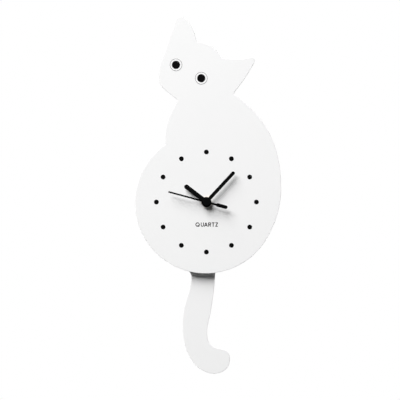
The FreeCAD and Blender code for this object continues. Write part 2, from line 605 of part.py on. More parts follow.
tail = tail.makeFillet(SHEET_EDGE, tail_rim)
slot = swung(box(-4.0, 4.0, 10, 13, -99.0, -92.0))
nodes["cat_tail"] = tail.cut(slot)

# --- leads --------------------------------------------------------------------------------------------
nodes["coil_leads"] = Part.makeCompound(
    [
        wire([(8.0, 14.55, 19.5), (8.0, 15.2, 19.5), (-8.8, 15.2, 22.0), (-8.8, 10.5, 22.0)], 0.2),
        wire([(8.0, 11.5, 22.55), (8.0, 11.5, 24.8), (-9.6, 11.5, 24.8), (-9.6, 10.5, 24.8)], 0.2),
    ]
)

os.makedirs("parts", exist_ok=True)
for name, shape in nodes.items():
    shape.translate(V(0, -CASE_REAR, -HANGER_Z))
    shape.exportStep("parts/" + name + ".step")
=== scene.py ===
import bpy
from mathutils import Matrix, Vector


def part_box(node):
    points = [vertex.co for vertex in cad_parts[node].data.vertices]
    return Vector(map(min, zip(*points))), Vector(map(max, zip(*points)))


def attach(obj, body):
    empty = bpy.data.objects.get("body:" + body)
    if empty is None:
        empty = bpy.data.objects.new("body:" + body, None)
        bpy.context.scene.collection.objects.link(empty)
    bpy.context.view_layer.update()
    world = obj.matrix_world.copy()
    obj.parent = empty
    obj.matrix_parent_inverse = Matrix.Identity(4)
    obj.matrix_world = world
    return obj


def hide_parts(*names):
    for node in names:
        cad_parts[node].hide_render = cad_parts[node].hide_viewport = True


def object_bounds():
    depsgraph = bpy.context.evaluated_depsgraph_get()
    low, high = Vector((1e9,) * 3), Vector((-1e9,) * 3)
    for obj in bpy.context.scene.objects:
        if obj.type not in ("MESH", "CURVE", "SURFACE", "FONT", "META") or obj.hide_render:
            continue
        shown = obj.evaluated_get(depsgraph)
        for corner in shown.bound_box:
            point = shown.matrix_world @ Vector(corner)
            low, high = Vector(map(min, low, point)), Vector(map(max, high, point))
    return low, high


bl_info = {
    "name": "Cat Tail Clock Pieces",
    "version": (1, 0, 0),
    "blender": (4, 5, 0),
    "location": "View3D > Sidebar > Cat Clock",
    "description": "Finishes the sheets, hands, movement, battery and pendulum of a cat tail wall clock",
    "category": "Object",
}

import math

import bmesh
import bpy
from bpy.props import FloatProperty, FloatVectorProperty, PointerProperty
from mathutils import Matrix, Vector

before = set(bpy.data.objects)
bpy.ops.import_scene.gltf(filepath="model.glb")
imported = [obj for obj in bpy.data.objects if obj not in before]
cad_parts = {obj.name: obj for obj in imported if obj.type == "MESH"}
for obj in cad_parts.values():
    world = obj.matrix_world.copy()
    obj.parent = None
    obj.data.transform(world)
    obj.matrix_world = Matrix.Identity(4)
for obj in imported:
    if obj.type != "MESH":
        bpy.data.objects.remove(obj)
cad_low, cad_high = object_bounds()

MM = 0.001
WELD = 0.002 * MM
CREASE = math.radians(35)
SHAFT_LOW, SHAFT_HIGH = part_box("hex_nut")
SHAFT = (SHAFT_LOW + SHAFT_HIGH) / 2


def colour_property(name, description, default):
    """A colour that is picked in the sidebar."""
    return FloatVectorProperty(
        name=name, description=description, default=default, subtype="COLOR", size=3, min=0, max=1
    )


def length_property(name, description, default):
    """A length in metres that is typed in the sidebar."""
    return FloatProperty(
        name=name, description=description, default=default, min=0, unit="LENGTH", precision=5
    )


def power_property(name, description, default):
    """A lamp's power in watts that is set in the sidebar."""
    return FloatProperty(name=name, description=description, default=default, min=0, unit="POWER")


class CatClockFinish(bpy.types.PropertyGroup):
    """Colours of the clock's coats, inks, plastics and metals."""

    coat: colour_property("Coat", "Powder coat on the cat and the tail", (0.85, 0.85, 0.85))
    lacquer: colour_property("Hand Lacquer", "Lacquer on the three hands", (0.0012, 0.0012, 0.0013))
    ink: colour_property("Ink", "Ink of the hour dots, the pupils and the word", (0.0010, 0.0010, 0.0011))
    eye_line: colour_property("Eye Line", "Thin line round each eye", (0.20, 0.20, 0.20))
    case: colour_property("Case", "Moulded case of the movement", (0.018, 0.018, 0.019))
    mark: colour_property("Mark", "Paint of the signs and arrows on the case", (0.30, 0.30, 0.30))
    knob: colour_property("Knob", "Setting knob on the back", (0.030, 0.030, 0.032))
    rubber: colour_property("Rubber", "Washer between the case and the cat", (0.022, 0.022, 0.022))
    brass: colour_property("Brass", "Bushing, nut and washer", (0.72, 0.50, 0.22))
    steel: colour_property("Steel", "Screws, arbors and stampings", (0.56, 0.56, 0.57))
    nickel: colour_property("Nickel", "Plated battery ends, contacts and crystal", (0.66, 0.65, 0.62))
    gear: colour_property("Gear", "Moulded wheels", (0.78, 0.77, 0.73))
    acetal: colour_property("Acetal", "Natural plates that carry the wheels", (0.70, 0.69, 0.62))
    winding: colour_property("Winding", "Enamelled coil wire", (0.55, 0.16, 0.055))
    ferrite: colour_property("Ferrite", "Rotor and pendulum magnets", (0.055, 0.053, 0.055))
    bobbin: colour_property("Bobbin", "Coil formers", (0.10, 0.11, 0.13))
    board: colour_property("Board", "Solder mask of the circuit boards", (0.012, 0.10, 0.045))
    label: colour_property("Label", "Film on the battery", (0.018, 0.040, 0.085))
    label_band: colour_property("Label Band", "Band and marks on the battery film", (0.60, 0.62, 0.64))


class CatClockSizes(bpy.types.PropertyGroup):
    """Sizes of the small pieces that are made here."""

    label_film: length_property("Label Film", "How far the battery film rolls over each end", 0.9 * MM)
    mark_height: length_property("Mark Height", "How far the painted marks stand up", 0.05 * MM)


class CatClockStage(bpy.types.PropertyGroup):
    """Camera distance, floor and the power of the lamps."""

    camera_distance: length_property("Camera Distance", "From the lens to the cat", 3.0)
    frame_width: length_property("Frame Width", "Width of the picture at the cat", 0.6)
    floor_drop: length_property("Floor Drop", "Height of the hanging clock's eye above the floor", 1.5)
    floor_radius: length_property("Floor Radius", "Radius of the round pale floor", 0.6)
    key_power: power_property("Key Power", "Big soft lamp", 1290)
    back_power: power_property("Back Power", "Lamps behind", 80)
    edge_power: power_property("Edge Power", "Lamp that catches the right and lower edges", 15)
    room_light: FloatProperty(name="Room Light", description="Even light of the room", default=0.025, min=0)


# ---------------------------------------------------------------- shader tools


def add_node(tree, kind, inputs=None, **options):
    """Adds a node, sets its options, and links or fills its inputs."""
    made = tree.nodes.new(kind)
    for key, value in options.items():
        setattr(made, key, value)
    for key, value in (inputs or {}).items():
        if isinstance(value, bpy.types.NodeSocket):
            tree.links.new(value, made.inputs[key])
        else:
            made.inputs[key].default_value = value
    return made


def calculate(tree, operation, first, second=0.0, third=0.0, clamp=False):
    """A Math node's answer."""
    made = add_node(
        tree, "ShaderNodeMath", {0: first, 1: second, 2: third}, operation=operation, use_clamp=clamp
    )
    return made.outputs[0]


def vary(tree, base, value, reach):
    """A base that rises and falls by a reach as a value moves about a half."""
    return calculate(tree, "MULTIPLY_ADD", calculate(tree, "SUBTRACT", value, 0.5), reach, base)


def mix_colours(tree, share, first, second, blend="MIX"):
    """One colour laid over another by a share, through the Mix node's colour sockets."""
    made = add_node(
        tree, "ShaderNodeMix", {0: share, 6: first, 7: second}, data_type="RGBA", blend_type=blend
    )
    return made.outputs[2]


def stretch(tree, value, low, high, new_low, new_high):
    """A value moved from one range to another and held inside it."""
    made = add_node(
        tree, "ShaderNodeMapRange",
        {"Value": value, "From Min": low, "From Max": high, "To Min": new_low, "To Max": new_high},
    )
    return made.outputs[0]


def noise(tree, vector, scale, detail=2.0, roughness=0.5):
    """A noise texture's value."""
    made = add_node(
        tree, "ShaderNodeTexNoise",
        {"Vector": vector, "Scale": scale, "Detail": detail, "Roughness": roughness},
    )
    return made.outputs[0]


def bump(tree, height, depth):
    """A normal raised by a height, with the full height given in metres."""
    made = add_node(tree, "ShaderNodeBump", {"Height": height, "Distance": depth, "Strength": 1.0})
    return made.outputs[0]


def solid(colour):
    """A colour with full opacity."""
    return (*colour, 1.0)


ANSWERS = {"Colour": "NodeSocketColor", "Roughness": "NodeSocketFloat", "Normal": "NodeSocketVector"}


def surface_group(name, extra):
    """A shader group that takes a place and a colour, and gives a colour, a roughness and a normal."""
    group = bpy.data.node_groups.new(name, "ShaderNodeTree")
    taken = [
        ("Vector", "NodeSocketVector", None),
        ("Colour", "NodeSocketColor", solid((0.5, 0.5, 0.5))),
        ("Roughness", "NodeSocketFloat", 0.5),
    ]
    taken += [(label, "NodeSocketFloat", default) for label, default in extra]
    for label, kind, default in taken:
        socket = group.interface.new_socket(name=label, in_out="INPUT", socket_type=kind)
        if default is not None:
            socket.default_value = default
    for label, kind in ANSWERS.items():
        group.interface.new_socket(name=label, in_out="OUTPUT", socket_type=kind)
    return group, group.nodes.new("NodeGroupInput").outputs, group.nodes.new("NodeGroupOutput").inputs


def give(group, exits, colour, roughness, normal):
    """Links a group's three answers."""
    for label, socket in zip(ANSWERS, (colour, roughness, normal)):
        group.links.new(socket, exits[label])


def make_sprayed_coat():
    """Paint laid on as powder or spray: a fine peel, grit, and a cloud of slightly duller patches."""
    group, given, exits = surface_group(
        "Sprayed Coat", [("Peel Scale", 700.0), ("Peel Depth", 0.01 * MM), ("Cloud", 0.02)]
    )
    peel = noise(group, given["Vector"], given["Peel Scale"], 2.0)
    grit = noise(group, given["Vector"], calculate(group, "MULTIPLY", given["Peel Scale"], 4.5), 1.0)
    cloud = noise(group, given["Vector"], 14.0, 3.0)
    off = calculate(group, "MULTIPLY", calculate(group, "SUBTRACT", cloud, 0.5), given["Cloud"])
    shade = calculate(group, "ADD", calculate(group, "MULTIPLY", off, 2.0), 1.0)
    colour = add_node(
        group, "ShaderNodeVectorMath", {0: given["Colour"], "Scale": shade}, operation="SCALE"
    ).outputs[0]
    rough = vary(group, given["Roughness"], peel, 0.12)
    height = calculate(group, "MULTIPLY_ADD", grit, 0.35, peel)
    give(group, exits, colour, rough, bump(group, height, given["Peel Depth"]))


def make_moulded_skin():
    """Plastic from a textured mould: a spark-eroded grain, flow marks and a slight bloom."""
    group, given, exits = surface_group(
        "Moulded Skin", [("Grain Scale", 2200.0), ("Grain Depth", 0.01 * MM), ("Bloom", 0.3)]
    )
    grain = noise(group, given["Vector"], given["Grain Scale"], 2.0, 0.6)
    pits = add_node(
        group, "ShaderNodeTexVoronoi",
        {"Vector": given["Vector"], "Scale": calculate(group, "MULTIPLY", given["Grain Scale"], 0.6)},
    ).outputs[0]
    flow = noise(group, given["Vector"], 60.0, 3.0, 0.55)
    handled = stretch(group, flow, 0.35, 0.7, 0.0, 1.0)
    bloom = calculate(group, "MULTIPLY", handled, given["Bloom"])
    lighter = mix_colours(group, bloom, given["Colour"], solid((0.5, 0.5, 0.5)), "SOFT_LIGHT")
    rough = vary(group, given["Roughness"], handled, 0.14)
    height = calculate(group, "MULTIPLY_ADD", pits, 0.5, grain)
    give(group, exits, lighter, rough, bump(group, height, given["Grain Depth"]))


def make_turned_metal():
    """Metal cut on a lathe: fine rings round the local Y axis, and a light tarnish."""
    group, given, exits = surface_group(
        "Turned Metal", [("Ring Scale", 900.0), ("Ring Depth", 0.006 * MM), ("Tarnish", 0.2)]
    )
    rings = add_node(
        group, "ShaderNodeTexWave",
        {"Vector": given["Vector"], "Scale": given["Ring Scale"],
         "Distortion": 1.2, "Detail": 2.0, "Detail Scale": 2.0},
        wave_type="RINGS", rings_direction="Y",
    ).outputs[1]
    patches = stretch(group, noise(group, given["Vector"], 260.0, 4.0, 0.6), 0.4, 0.75, 0.0, 1.0)
    tarnish = calculate(group, "MULTIPLY", patches, given["Tarnish"])
    colour = mix_colours(group, tarnish, given["Colour"], solid((0.25, 0.20, 0.15)), "MULTIPLY")
    cut = calculate(group, "MULTIPLY_ADD", rings, 0.07, given["Roughness"])
    rough = calculate(group, "MULTIPLY_ADD", tarnish, 0.5, cut)
    give(group, exits, colour, rough, bump(group, rings, given["Ring Depth"]))


def make_rolled_metal():
    """Sheet metal from the rolls: short streaks along the local X axis, and faint stains."""
    group, given, exits = surface_group(
        "Rolled Metal", [("Streak Scale", 900.0), ("Streak Depth", 0.004 * MM), ("Stain", 0.2)]
    )
    drawn = add_node(
        group, "ShaderNodeVectorMath", {0: given["Vector"], 1: (0.06, 1.0, 1.0)}, operation="MULTIPLY"
    )
    streaks = noise(group, drawn.outputs[0], given["Streak Scale"], 4.0, 0.65)
    patches = stretch(group, noise(group, given["Vector"], 180.0, 3.0, 0.6), 0.4, 0.75, 0.0, 1.0)
    stain = calculate(group, "MULTIPLY", patches, given["Stain"])
    colour = mix_colours(group, stain, given["Colour"], solid((0.30, 0.27, 0.24)), "MULTIPLY")
    rough = vary(group, given["Roughness"], streaks, 0.35)
    give(group, exits, colour, rough, bump(group, streaks, given["Streak Depth"]))


def make_printed_film():
    """Screen-printed ink: the mesh's faint weave and a soft mottle."""
    group, given, exits = surface_group(
        "Printed Film", [("Mesh Scale", 9000.0), ("Film Depth", 0.004 * MM), ("Mottle", 0.25)]
    )
    threads = {"Vector": given["Vector"], "Scale": given["Mesh Scale"]}
    across = add_node(group, "ShaderNodeTexWave", threads, bands_direction="X").outputs[1]
    along = add_node(group, "ShaderNodeTexWave", threads, bands_direction="Z").outputs[1]
    weave = calculate(group, "MULTIPLY", across, along)
    mottle = stretch(group, noise(group, given["Vector"], 1400.0, 3.0, 0.6), 0.35, 0.75, 0.0, 1.0)
    share = calculate(group, "MULTIPLY", mottle, given["Mottle"])
    colour = mix_colours(group, share, given["Colour"], solid((0.5, 0.5, 0.5)), "SOFT_LIGHT")
    rough = vary(group, given["Roughness"], mottle, 0.16)
    height = calculate(group, "MULTIPLY_ADD", mottle, 0.6, weave)
    give(group, exits, colour, rough, bump(group, height, given["Film Depth"]))


GROUP_MAKERS = {
    "Sprayed Coat": make_sprayed_coat,
    "Moulded Skin": make_moulded_skin,
    "Turned Metal": make_turned_metal,
    "Rolled Metal": make_rolled_metal,
    "Printed Film": make_printed_film,
}


def blank_material(name):
    """A new material with its node tree and its Principled shader."""
    made = bpy.data.materials.new(name)
    made.use_nodes = True
    return made, made.node_tree, made.node_tree.nodes["Principled BSDF"]


def place_on_piece(tree, centre=(0, 0, 0), turn=(0, 0, 0)):
    """The piece's own coordinates, measured from a centre and turned."""
    own = add_node(tree, "ShaderNodeTexCoord").outputs["Object"]
    return add_node(
        tree, "ShaderNodeMapping", {"Vector": own, "Location": centre, "Rotation": turn},
        vector_type="TEXTURE",
    ).outputs[0]


def finish_material(name, group_name, colour, roughness, values, centre=(0, 0, 0), turn=(0, 0, 0), **sockets):
    """A material whose surface comes from one group, with the shader's own sockets set by name."""
    if name in bpy.data.materials:
        return bpy.data.materials[name]
    if group_name not in bpy.data.node_groups:
        GROUP_MAKERS[group_name]()
    made, tree, shader = blank_material(name)
    place = place_on_piece(tree, centre, turn)
    surface = add_node(
        tree, "ShaderNodeGroup", {"Vector": place, "Colour": solid(colour), "Roughness": roughness, **values},
        node_tree=bpy.data.node_groups[group_name],
    )
    for answer, socket in zip(ANSWERS, ("Base Color", "Roughness", "Normal")):
        tree.links.new(surface.outputs[answer], shader.inputs[socket])
    for label, value in sockets.items():
        shader.inputs[label.replace("_", " ")].default_value = value
    return made


def coat(node, material):
    """Gives a frame node a material in place of the one it came with."""
    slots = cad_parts[node].material_slots
    if not slots:
        raise RuntimeError(f"{node} has no material slot")
    for place in slots:
        place.material = material


# ------------------------------------------------------------------ mesh tools


def piece_from(bm, name, body, material):
    """Makes a finished piece from a bmesh, smooth but for its creases, and hangs it on a body."""
    bmesh.ops.remove_doubles(bm, verts=bm.verts, dist=WELD)
    bmesh.ops.recalc_face_normals(bm, faces=bm.faces)
    mesh = bpy.data.meshes.new(name)
    bm.to_mesh(mesh)
    bm.free()
    for face in mesh.polygons:
        face.use_smooth = True
    mesh.set_sharp_from_angle(angle=CREASE)
    mesh.materials.append(material)
    piece = bpy.data.objects.new(name, mesh)
    bpy.context.scene.collection.objects.link(piece)
    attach(piece, body)
    return piece


def spun(points, centre, axis, steps):
    """A solid from a profile of (along, radius) points, from axis to axis, spun all the way round."""
    bm = bmesh.new()
    axis = Vector(axis)
    side = axis.orthogonal().normalized()
    corners = [bm.verts.new(Vector(centre) + axis * along + side * radius) for along, radius in points]
    for start, end in zip(corners, corners[1:]):
        bm.edges.new((start, end))
    bmesh.ops.spin(
        bm, geom=bm.verts[:] + bm.edges[:], cent=centre, axis=axis, angle=math.tau, steps=steps,
        use_merge=True,
    )
    return bm


# ------------------------------------------------------------------- operators


class CATCLOCK_OT_coat_sheets(bpy.types.Operator):
    """Powder-coat the cat and its tail"""

    bl_idname = "catclock.coat_sheets"
    bl_label = "Coat Sheets"

    def execute(self, context):
        finish = context.scene.cat_clock_finish
        white = finish_material(
            "powder_coat", "Sprayed Coat", finish.coat, 0.42,
            {"Peel Scale": 620.0, "Peel Depth": 0.012 * MM, "Cloud": 0.012}, Specular_IOR_Level=0.42,
        )
        coat("cat_plate", white)
        coat("cat_tail", white)
        return {"FINISHED"}


class CATCLOCK_OT_print_dial(bpy.types.Operator):
    """Print the hour dots, the eyes and the word"""

    bl_idname = "catclock.print_dial"
    bl_label = "Print Dial"

    def execute(self, context):
        finish = context.scene.cat_clock_finish
        values = {"Mesh Scale": 2600.0, "Film Depth": 0.004 * MM, "Mottle": 0.2}
        prints = (
            ("screen_ink", finish.ink, 0.55, 0.08, ("hour_dots", "eye_pupils", "dial_word")),
            ("eye_line_ink", finish.eye_line, 0.5, 0.35, ("eye_rings",)),
            ("eye_white_ink", finish.coat, 0.45, 0.4, ("eye_whites",)),
        )
        for name, colour, roughness, gloss, nodes in prints:
            ink = finish_material(name, "Printed Film", colour, roughness, values, Specular_IOR_Level=gloss)
            for node in nodes:
                coat(node, ink)
        return {"FINISHED"}


class CATCLOCK_OT_lacquer_hands(bpy.types.Operator):
    """Lacquer the hour, minute and second hands"""

    bl_idname = "catclock.lacquer_hands"
    bl_label = "Lacquer Hands"

    def execute(self, context):
        finish = context.scene.cat_clock_finish
        lacquer = finish_material(
            "hand_lacquer", "Sprayed Coat", finish.lacquer, 0.42,
            {"Peel Scale": 1500.0, "Peel Depth": 0.006 * MM, "Cloud": 0.15}, Specular_IOR_Level=0.12,
        )
        for node in ("hour_hand", "minute_hand", "second_hand"):
            coat(node, lacquer)
        return {"FINISHED"}


class CATCLOCK_OT_fit_bushing(bpy.types.Operator):
    """Finish the brass fittings that hold the movement to the cat"""

    bl_idname = "catclock.fit_bushing"
    bl_label = "Fit Bushing"

    def execute(self, context):
        finish = context.scene.cat_clock_finish
        brass = finish_material(
            "turned_brass", "Turned Metal", finish.brass, 0.24,
            {"Ring Scale": 1400.0, "Ring Depth": 0.006 * MM, "Tarnish": 0.25},
            centre=tuple(SHAFT), Metallic=1.0,
        )
        rubber = finish_material(
            "rubber_seat", "Moulded Skin", finish.rubber, 0.72,
            {"Grain Scale": 1500.0, "Grain Depth": 0.02 * MM, "Bloom": 0.5}, Specular_IOR_Level=0.3,
        )
        for node in ("threaded_bushing", "brass_washer", "hex_nut"):
            coat(node, brass)
        coat("rubber_washer", rubber)
        return {"FINISHED"}


SIGN_REACH = 2.1 * MM
SIGN_HALF = 0.4 * MM
ARROW_RADIUS = 9.05 * MM
ARROW_HALF = 0.45 * MM
ARROW_BARB = 1.35 * MM
ARROW_TIP = 2.6 * MM
ARROW_SWEEP = math.radians(62)
ARROW_STEPS = 14


class CATCLOCK_OT_mould_case(bpy.types.Operator):
    """Finish the movement's case and its screws"""

    bl_idname = "catclock.mould_case"
    bl_label = "Mould Case"

    def execute(self, context):
        finish = context.scene.cat_clock_finish
        skin = finish_material(
            "case_plastic", "Moulded Skin", finish.case, 0.46,
            {"Grain Scale": 2300.0, "Grain Depth": 0.03 * MM, "Bloom": 0.45}, Specular_IOR_Level=0.5,
        )
        for node in ("case_front", "case_back"):
            coat(node, skin)
        coat("case_screws", screw_steel(finish))
        paint = finish_material(
            "mark_paint", "Printed Film", finish.mark, 0.55,
            {"Mesh Scale": 2600.0, "Film Depth": 0.006 * MM, "Mottle": 0.4}, Specular_IOR_Level=0.3,
        )
        marks = bmesh.new()
        height = context.scene.cat_clock_sizes.mark_height
        low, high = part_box("battery_shell")
        from_end = 5 * MM
        above = high.z + 3.6 * MM
        plus = plus_outline(Vector((high.x - from_end, above)), SIGN_REACH, SIGN_HALF)
        minus = minus_outline(Vector((low.x + from_end, above)), SIGN_REACH, SIGN_HALF)
        knob_low, knob_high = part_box("setting_knob")
        knob = (knob_low.xz + knob_high.xz) / 2
        arrows = [arrow_outline(knob, start) for start in (0.0, math.pi)]
        for outline in (plus, minus, *arrows):
            paint_mark(marks, outline, height)
        piece_from(marks, "case_marks", "movement_and_cat", paint)
        return {"FINISHED"}


def paint_mark(bm, outline, height):
    """Raises a closed outline, given as x and z, from just inside the back of the case."""
    sunk = 0.1 * MM
    face = bm.faces.new([bm.verts.new((corner.x, -sunk, corner.y)) for corner in outline])
    raised = bmesh.ops.extrude_face_region(bm, geom=[face])["geom"]
    rising = [part for part in raised if isinstance(part, bmesh.types.BMVert)]
    bmesh.ops.translate(bm, verts=rising, vec=(0, sunk + height, 0))


def minus_outline(middle, reach, half):
    """Gives the four corners of a minus sign."""
    corners = ((reach, -half), (reach, half), (-reach, half), (-reach, -half))
    return [middle + Vector(corner) for corner in corners]


def plus_outline(middle, reach, half):
    """Gives the twelve corners of a plus sign, one arm at a time."""
    arm = ((reach, -half), (reach, half), (half, half))
    quarters = [Matrix.Rotation(quarter * math.pi / 2, 2) for quarter in range(4)]
    return [middle + turn @ Vector(corner) for turn in quarters for corner in arm]


def arrow_outline(middle, start):
    """Gives the outline of a curved arrow, which shows which way the knob sets the hands forward."""

    def at(reach, angle):
        return middle + Vector((math.cos(angle), math.sin(angle))) * reach

    angles = [start - ARROW_SWEEP * step / ARROW_STEPS for step in range(ARROW_STEPS + 1)]
    end = angles[-1]
    outer = [at(ARROW_RADIUS + ARROW_HALF, angle) for angle in angles]
    inner = [at(ARROW_RADIUS - ARROW_HALF, angle) for angle in reversed(angles)]
    point = at(ARROW_RADIUS, end - ARROW_TIP / ARROW_RADIUS)
    return outer + [at(ARROW_RADIUS + ARROW_BARB, end), point, at(ARROW_RADIUS - ARROW_BARB, end)] + inner


def screw_steel(finish):
    """Zinc-plated screw steel."""
    return finish_material(
        "screw_steel", "Rolled Metal", finish.steel, 0.3,
        {"Streak Scale": 1600.0, "Streak Depth": 0.003 * MM, "Stain": 0.25}, Metallic=1.0,
    )


class CATCLOCK_OT_turn_knob(bpy.types.Operator):
    """Finish the setting knob on the back"""

    bl_idname = "catclock.turn_knob"
    bl_label = "Turn Knob"

    def execute(self, context):
        finish = context.scene.cat_clock_finish
        skin = finish_material(
            "knob_plastic", "Moulded Skin", finish.knob, 0.38,
            {"Grain Scale": 2600.0, "Grain Depth": 0.012 * MM, "Bloom": 0.35}, Specular_IOR_Level=0.5,
        )
        coat("setting_knob", skin)
        return {"FINISHED"}


class CATCLOCK_OT_finish_train(bpy.types.Operator):
    """Finish the wheels and the plates that carry them"""

    bl_idname = "catclock.finish_train"
    bl_label = "Finish Train"

    def execute(self, context):
        finish = context.scene.cat_clock_finish
        gear = finish_material(
            "wheel_plastic", "Moulded Skin", finish.gear, 0.4,
            {"Grain Scale": 3200.0, "Grain Depth": 0.006 * MM, "Bloom": 0.2},
            Subsurface_Weight=0.15, Subsurface_Scale=1.0 * MM,
        )
        plate = finish_material(
            "plate_acetal", "Moulded Skin", finish.acetal, 0.48,
            {"Grain Scale": 2400.0, "Grain Depth": 0.012 * MM, "Bloom": 0.25},
            Subsurface_Weight=0.1, Subsurface_Scale=1.0 * MM,
        )
        arbor = finish_material(
            "arbor_steel", "Turned Metal", finish.steel, 0.2,
            {"Ring Scale": 1800.0, "Ring Depth": 0.003 * MM, "Tarnish": 0.1},
            centre=tuple(SHAFT), Metallic=1.0,
        )
        wheels = ("hour_wheel", "motion_wheel", "centre_wheel", "third_wheel")
        wheels += ("seconds_wheel", "intermediate_wheel", "rotor_pinion", "minute_tube")
        for node in wheels:
            coat(node, gear)
        for node in ("train_plate", "train_bridge"):
            coat(node, plate)
        for node in ("seconds_arbor", "clutch_washer"):
            coat(node, arbor)
        coat("train_screws", screw_steel(finish))
        return {"FINISHED"}


class CATCLOCK_OT_wind_motor(bpy.types.Operator):
    """Finish the stepping motor, its coil and the circuit boards"""

    bl_idname = "catclock.wind_motor"
    bl_label = "Wind Motor"

    def execute(self, context):
        finish = context.scene.cat_clock_finish
        lamination = finish_material(
            "stator_steel", "Rolled Metal", finish.steel, 0.38,
            {"Streak Scale": 1100.0, "Streak Depth": 0.005 * MM, "Stain": 0.3}, Metallic=1.0,
        )
        former = finish_material(
            "coil_former", "Moulded Skin", finish.bobbin, 0.45,
            {"Grain Scale": 3000.0, "Grain Depth": 0.008 * MM, "Bloom": 0.3}, Specular_IOR_Level=0.5,
        )
        epoxy = finish_material(
            "chip_epoxy", "Moulded Skin", finish.case, 0.3,
            {"Grain Scale": 900.0, "Grain Depth": 0.01 * MM, "Bloom": 0.2}, Specular_IOR_Level=0.55,
        )
        along = winding_material("winding_along", "X", finish)
        deep = winding_material("winding_deep", "Y", finish)
        leads = winding_material("lead_wire", "X", finish)
        finishes = (
            (lamination, ("motor_stator", "coil_core")),
            (former, ("coil_bobbin", "drive_bobbin")),
            (along, ("coil_winding",)),
            (deep, ("drive_winding",)),
            (leads, ("coil_leads",)),
            (screw_steel(finish), ("coil_screws",)),
            (ferrite(finish), ("rotor_magnet",)),
            (board_material(finish), ("circuit_board", "drive_board")),
            (nickel_plate(finish), ("drive_pins", "crystal_can")),
            (epoxy, ("chip_blob", "drive_chip")),
        )
        for material, nodes in finishes:
            for node in nodes:
                coat(node, material)
        return {"FINISHED"}


def ferrite(finish):
    """Sintered ferrite of the rotor's and the pendulum's magnets."""
    return finish_material(
        "ferrite_magnet", "Moulded Skin", finish.ferrite, 0.55,
        {"Grain Scale": 2600.0, "Grain Depth": 0.01 * MM, "Bloom": 0.5}, Specular_IOR_Level=0.4,
    )


def nickel_plate(finish):
    """Nickel plate on the contacts, the crystal and the battery's ends."""
    return finish_material(
        "nickel_plate", "Rolled Metal", finish.nickel, 0.26,
        {"Streak Scale": 1300.0, "Streak Depth": 0.003 * MM, "Stain": 0.15}, Metallic=1.0,
    )


def winding_material(name, direction, finish):
    """Enamelled wire laid in rows, with a ridge for each turn and painted shade in the groove between turns.
    """
    if name in bpy.data.materials:
        return bpy.data.materials[name]
    made, tree, shader = blank_material(name)
    place = place_on_piece(tree)
    turns = add_node(
        tree, "ShaderNodeTexWave", {"Vector": place, "Scale": 2400.0, "Distortion": 0.6, "Detail": 1.0},
        wave_type="BANDS", bands_direction=direction,
    ).outputs[1]
    uneven = noise(tree, place, 700.0, 3.0)
    dark = mix_colours(tree, 0.55, solid(finish.winding), solid((0.2, 0.05, 0.02)), "MULTIPLY")
    # Painted shade: the grooves between turns take the darker copy of the wire colour, in step with the
    # ridges of the bump.
    turns_with_painted_groove_shade = mix_colours(tree, turns, dark, solid(finish.winding))
    colour = mix_colours(tree, stretch(tree, uneven, 0.3, 0.8, 0.0, 0.35), turns_with_painted_groove_shade, dark)
    tree.links.new(colour, shader.inputs["Base Color"])
    tree.links.new(stretch(tree, uneven, 0.3, 0.7, 0.2, 0.36), shader.inputs["Roughness"])
    tree.links.new(bump(tree, turns, 0.04 * MM), shader.inputs["Normal"])
    shader.inputs["Metallic"].default_value = 0.85
    shader.inputs["Coat Weight"].default_value = 0.4
    return made


def board_material(finish):
    """Glass board under a solder mask, with narrow tracks that stand up under it, bare ring pads, and holes
    painted near black as shade.
    """
    made, tree, shader = blank_material("solder_mask")
    place = place_on_piece(tree)
    cells = add_node(
        tree, "ShaderNodeTexVoronoi", {"Vector": place, "Scale": 300.0, "Randomness": 0.55},
        distance="CHEBYCHEV", feature="F1",
    )
    laid_flat = add_node(tree, "ShaderNodeMapping", {"Vector": place, "Rotation": (math.radians(90), 0, 0)})
    runs = add_node(
        tree, "ShaderNodeTexBrick",
        {"Vector": laid_flat.outputs[0], "Scale": 420.0,
         "Color1": solid((1, 1, 1)), "Color2": solid((1, 1, 1)), "Mortar": solid((0, 0, 0)),
         "Mortar Size": 0.06, "Mortar Smooth": 0.2, "Brick Width": 5.0, "Row Height": 0.34},
        offset=0.5, squash=1.0,
    ).outputs[1]
    pads = stretch(tree, cells.outputs[0], 0.13, 0.16, 1.0, 0.0)
    hole_mask_painted_dark = stretch(tree, cells.outputs[0], 0.05, 0.06, 1.0, 0.0)
    ring = calculate(tree, "SUBTRACT", pads, hole_mask_painted_dark, clamp=True)
    cloth = noise(tree, place, 1800.0, 1.0)
    weave = stretch(tree, cloth, 0.35, 0.65, 0.0, 0.25)
    deep = mix_colours(tree, weave, solid(finish.board), solid((0.02, 0.13, 0.06)))
    masked = mix_colours(tree, runs, deep, solid((0.022, 0.15, 0.066)))
    tinned = mix_colours(tree, ring, masked, solid(finish.nickel))
    # Painted shade: the middle of each ring pad is near black, standing in for the shade inside a drilled
    # hole.
    tree.links.new(mix_colours(tree, hole_mask_painted_dark, tinned, solid((0.01, 0.01, 0.01))), shader.inputs["Base Color"])
    tree.links.new(calculate(tree, "MULTIPLY", ring, 0.9), shader.inputs["Metallic"])
    tree.links.new(stretch(tree, noise(tree, place, 400.0), 0.3, 0.7, 0.28, 0.42), shader.inputs["Roughness"])
    tree.links.new(bump(tree, calculate(tree, "MAXIMUM", runs, pads), 0.03 * MM), shader.inputs["Normal"])
    return made


